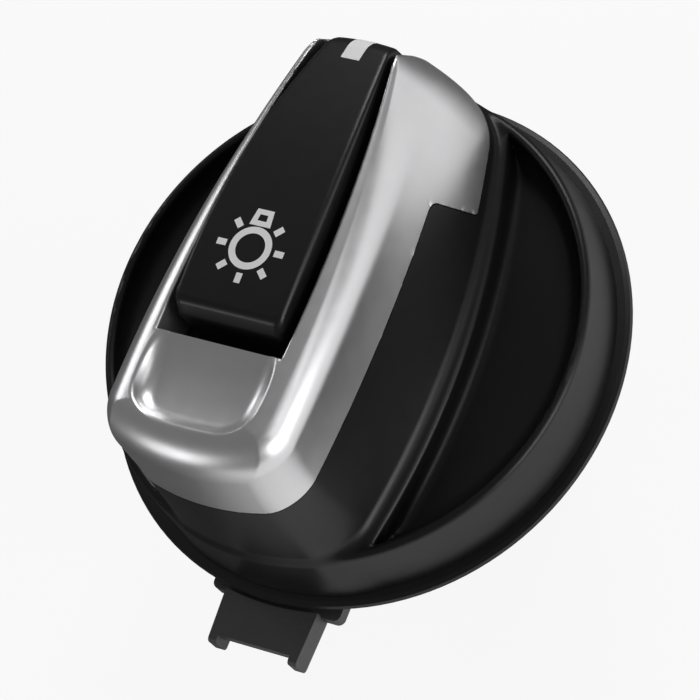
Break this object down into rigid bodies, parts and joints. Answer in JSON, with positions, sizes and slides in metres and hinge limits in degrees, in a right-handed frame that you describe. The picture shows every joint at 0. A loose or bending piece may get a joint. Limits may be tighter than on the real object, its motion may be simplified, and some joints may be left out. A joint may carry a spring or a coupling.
{
  "type": "headlight switch",
  "caption": "Rotary headlight switch for a dashboard: round black skirt with a tall satin-edged grip, lamp symbol key, radial lug and a rear housing with a plug socket",
  "frame": {"origin": "on the knob's axis, in the plane of the flange's underside that seats on the panel", "axes": "+Z out of the knob's face along its axis, +Y towards the pointer end at rest, +X to the pointer's right"},
  "size_m": [0.046, 0.0505, 0.0433],
  "materials": {
    "black_soft": "fine matt",
    "black_plastic": "fine matt",
    "black_satin": "satin",
    "satin_silver": "satin metal plating",
    "white_mark": "satin",
    "clear": "clear",
    "acetal": "smooth",
    "steel": "bright zinc",
    "board": "satin",
    "copper": "bright",
    "spring_bronze": "bright",
    "tin": "tin plated",
    "lamp": "clear",
    "ceramic": "satin"
  },
  "bodies": {
    "fixed": {"carrier": "black_plastic", "detent_track": "acetal", "rear_housing": "black_plastic", "housing_screws": "steel", "contact_board": "board", "contact_tracks": "copper", "lamp_led": "lamp", "series_resistor": "ceramic", "terminals": "tin"},
    "knob": {"knob_body": "black_soft", "base_ring": "black_plastic", "grip_trim": "satin_silver", "key_cap": "black_satin", "pointer_window": "white_mark", "light_guide": "clear", "drive_hub": "acetal", "hub_screws": "steel", "hub_clip": "steel", "rotor": "black_plastic", "wiper_contacts": "spring_bronze", "detent_spring_a": "steel", "detent_spring_b": "steel"},
    "plunger_a": {"detent_plunger_a": "steel"},
    "plunger_b": {"detent_plunger_b": "steel"}
  },
  "joints": [
    {"name": "knob_turn", "type": "hinge", "parent": "fixed", "child": "knob", "pos_m": [0, 0, 0], "axis": [0, 0, 1], "range_deg": [-90, 0]},
    {"name": "plunger_a_slide", "type": "slide", "parent": "knob", "child": "plunger_a", "axis": [0, 0, 1], "range_m": [0, 0.0004], "stiffness_N_per_m": 40, "springref_m": 0.001, "deforming": ["detent_spring_a"]},
    {"name": "plunger_b_slide", "type": "slide", "parent": "knob", "child": "plunger_b", "axis": [0, 0, 1], "range_m": [0, 0.0004], "stiffness_N_per_m": 40, "springref_m": 0.001, "deforming": ["detent_spring_b"]}
  ]
}
